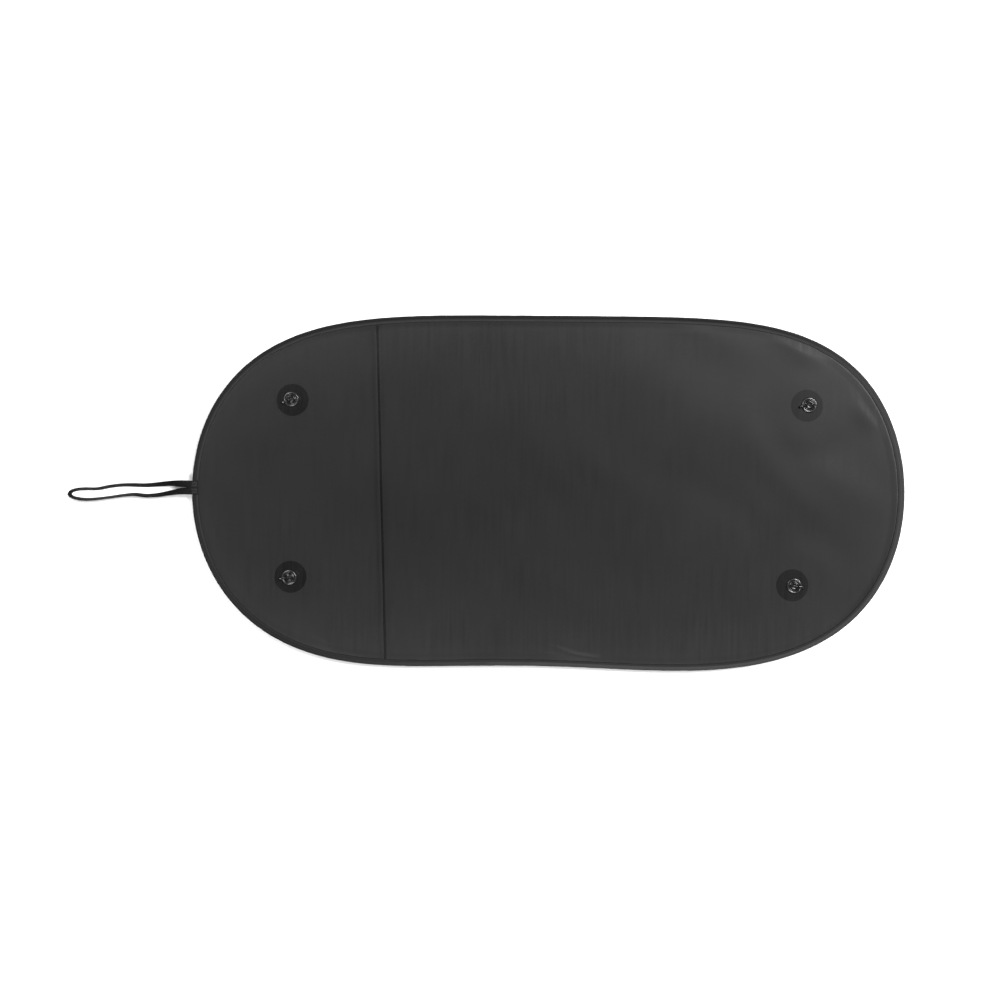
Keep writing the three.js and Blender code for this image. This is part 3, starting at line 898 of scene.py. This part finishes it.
def cup_profile():
    """Half section of a cup as [radius, height], from the middle of its hollow to its head."""
    hollow = rounded([
        [0, 5.5], [4, 5.4], [8, 4.95], [12, 4.0], [15.5, 2.85], [18.6, 1.5], [20.4, 0.55],
        [21.3, 0.02]], steps=30)
    lip = rounded([
        [21.3, 0.02], [21.9, 0.0], [22.3, 0.06], [22.5, 0.3], [22.5, 0.65], [22.2, 0.98],
        [21.3, 1.5], [20.4, 2.15]], steps=16)
    dome = rounded([
        [20.4, 2.15], [19.4, 2.95], [18.7, 3.35], [18.0, 3.5], [17.2, 4.1], [15.6, 5.05],
        [13.6, 6.05], [11.4, 6.95], [9.4, 7.7], [8.2, 8.3], [7.65, 9.1], [7.5, 10.1]], steps=34)
    boss = rounded([
        [7.5, 10.1], [7.5, 11.2], [7.25, 11.55], [6.8, 11.65], [5.4, 11.65], [5.0, 11.8]], steps=14)
    head = rounded([
        [5.0, 11.8], [4.9, 12.6], [4.9, 15.4], [5.0, 15.9], [5.3, 16.05], [5.9, 16.07],
        [6.25, 16.35], [6.3, 16.9], [6.15, 17.6], [5.6, 18.3], [4.6, 18.7], [3.6, 18.72],
        [3.0, 18.55], [2.2, 18.5], [1.1, 18.5], [0, 18.5]], steps=44)
    return np.vstack([hollow[:-1], lip[:-1], dome[:-1], boss[:-1], head])


def swept(name, stations):
    """A rounded bar along X, closed at its ends.

    Its stations are [x, height, half width, half thickness] in millimetres.
    """
    x, height, width, thickness = rounded(stations, steps=30).T[:, :, None]
    a = np.linspace(0, 2 * math.pi, BAR_SIDES, endpoint=False)
    flat = np.sign(np.cos(a)) * np.abs(np.cos(a)) ** BAR_SQUARENESS
    tall = np.sign(np.sin(a)) * np.abs(np.sin(a)) ** BAR_SQUARENESS
    rings = np.stack([
        np.broadcast_to(x, (len(x), BAR_SIDES)),
        width * flat[None],
        height + thickness * tall[None],
    ], 2)
    along = x[:, 0] - x[0, 0]
    along = np.append(along, along[-1])
    across = np.arange(BAR_SIDES + 1) * BAR_SIDE_UV
    return grid_object(name, rings, False, True, along, across)


def suction_cup(key):
    """A cup with its head, pull tab and cross bar, turned to the direction of its tab."""
    x, y, turn = CUPS[key]
    body = lathe("cup", cup_profile(), segments=112)
    tab = swept("tab", [
        [-0.5, 17.4, 0.02, 0.02], [-0.3, 17.4, 1.2, 0.4], [0.6, 17.45, 1.5, 0.55],
        [6.0, 17.45, 1.5, 0.55], [9.2, 17.4, 1.45, 0.52], [11.2, 17.38, 1.45, 0.55],
        [12.0, 17.5, 1.75, 0.75], [12.7, 17.62, 1.92, 0.9], [13.5, 17.6, 1.72, 0.85],
        [14.1, 17.55, 1.1, 0.55], [14.38, 17.5, 0.02, 0.02]])
    bar = swept("bar", [
        [-4.9, 18.3, 0.02, 0.02], [-4.75, 18.4, 0.5, 0.3], [-4.2, 18.5, 0.75, 0.5],
        [0, 18.55, 0.8, 0.5], [4.2, 18.5, 0.75, 0.5], [4.75, 18.4, 0.5, 0.3],
        [4.9, 18.3, 0.02, 0.02]])
    cup = join("cup_" + key, [body, tab, bar])
    placed(cup, x, y, turn)
    finished(cup, pvc_finish, "cup_" + key)
    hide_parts("suction_cup_" + key)


def eyelet(key):
    """An eyelet with its rolled rim over the cloth and its washer behind it."""
    x, y, _ = CUPS[key]
    a = np.radians(np.linspace(-8, 172, 24))
    roll = np.array(ROLL_CENTRE) + np.array(ROLL_RADII) * np.stack([np.cos(a), np.sin(a)], 1)
    roll = roll[roll[:, 0] > ROLL_INNER]
    inside = rounded([
        [7.4, 15.25], [7.1, 15.1], [6.6, 15.3], [6.0, 15.6], [5.6, 15.62], [5.3, 15.4],
        [5.2, 15.0], [5.2, 12.4], [5.35, 12.05], [5.8, 11.95], [6.8, 11.95], [7.2, 12.02],
        [7.3, 12.2], [7.2, 12.4], [6.8, 12.45], [6.15, 12.5], [6.0, 12.65], [6.0, 14.3],
        [6.2, 14.55], [10.6, 14.55]], steps=60)
    ring = lathe("eyelet_ring_" + key, np.vstack([roll, inside]), segments=96)
    placed(ring, x, y)
    finished(ring, enamel_finish)
    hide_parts("eyelet_" + key)
    back = rounded([
        [6.35, 13.2], [6.3, 12.9], [6.4, 12.78], [6.7, 12.75], [9.1, 12.75], [9.4, 12.8],
        [9.5, 13.0], [9.45, 13.35], [9.2, 13.45], [6.6, 13.45], [6.4, 13.4], [6.35, 13.2]], steps=40)
    washer = lathe("eyelet_back_" + key, back, segments=80)
    placed(washer, x, y)
    finished(washer, enamel_finish)
    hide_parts("eyelet_washer_" + key)


for key in CUPS:
    suction_cup(key)
    eyelet(key)

# Pieces that stay as the solids
for node, finish, slot in (
    ("frame_wire", steel_finish, "spring_steel"),
    ("wire_ferrule", brass_finish, "crimp_brass"),
):
    finish.paint(frame["nodes"][node])

# Floor and light
FLOOR_SIZE = 12
FLOOR_GAP = 0.0004  # under the cups' lips
WORLD_STRENGTH = 0.4
LIGHTS = [
    # name, place, size, watts
    ("key", (1.75, 1.25, 3.6), (1.7, 0.6), 236),
    ("back", (-1.5, 1.25, 3.3), (1.2, 0.6), 50),
    ("front", (-0.3, -1.75, 3.2), (1.6, 0.7), 66),
]

bpy.ops.mesh.primitive_plane_add(size=FLOOR_SIZE, location=(0, 0, -FLOOR_GAP))
floor = bpy.context.active_object
floor.name = "floor"
paper = Finish("floor_paper", Roughness=0.9, Specular_IOR_Level=0.1)
paper.colour(paper.ramp(paper.noise(paper.coords("Object"), scale=3.0), grey(0.93), grey(0.97)))
paper.paint(floor)

world = bpy.data.worlds.new("studio")
bpy.context.scene.world = world
world.use_nodes = True
world.node_tree.nodes["Background"].inputs["Color"].default_value = (1, 1, 1, 1)
world.node_tree.nodes["Background"].inputs["Strength"].default_value = WORLD_STRENGTH

for name, place, size, watts in LIGHTS:
    data = bpy.data.lights.new(name, "AREA")
    data.shape = "RECTANGLE"
    data.size, data.size_y = size
    data.energy = watts
    light = bpy.data.objects.new(name, data)
    light.location = place
    light.rotation_euler = Vector(place).to_track_quat("Z", "Y").to_euler()
    bpy.context.scene.collection.objects.link(light)

scene = bpy.context.scene
scene.view_settings.view_transform = "Standard"
scene.view_settings.look = "None"
scene.view_settings.exposure = 0
scene.view_settings.gamma = 1
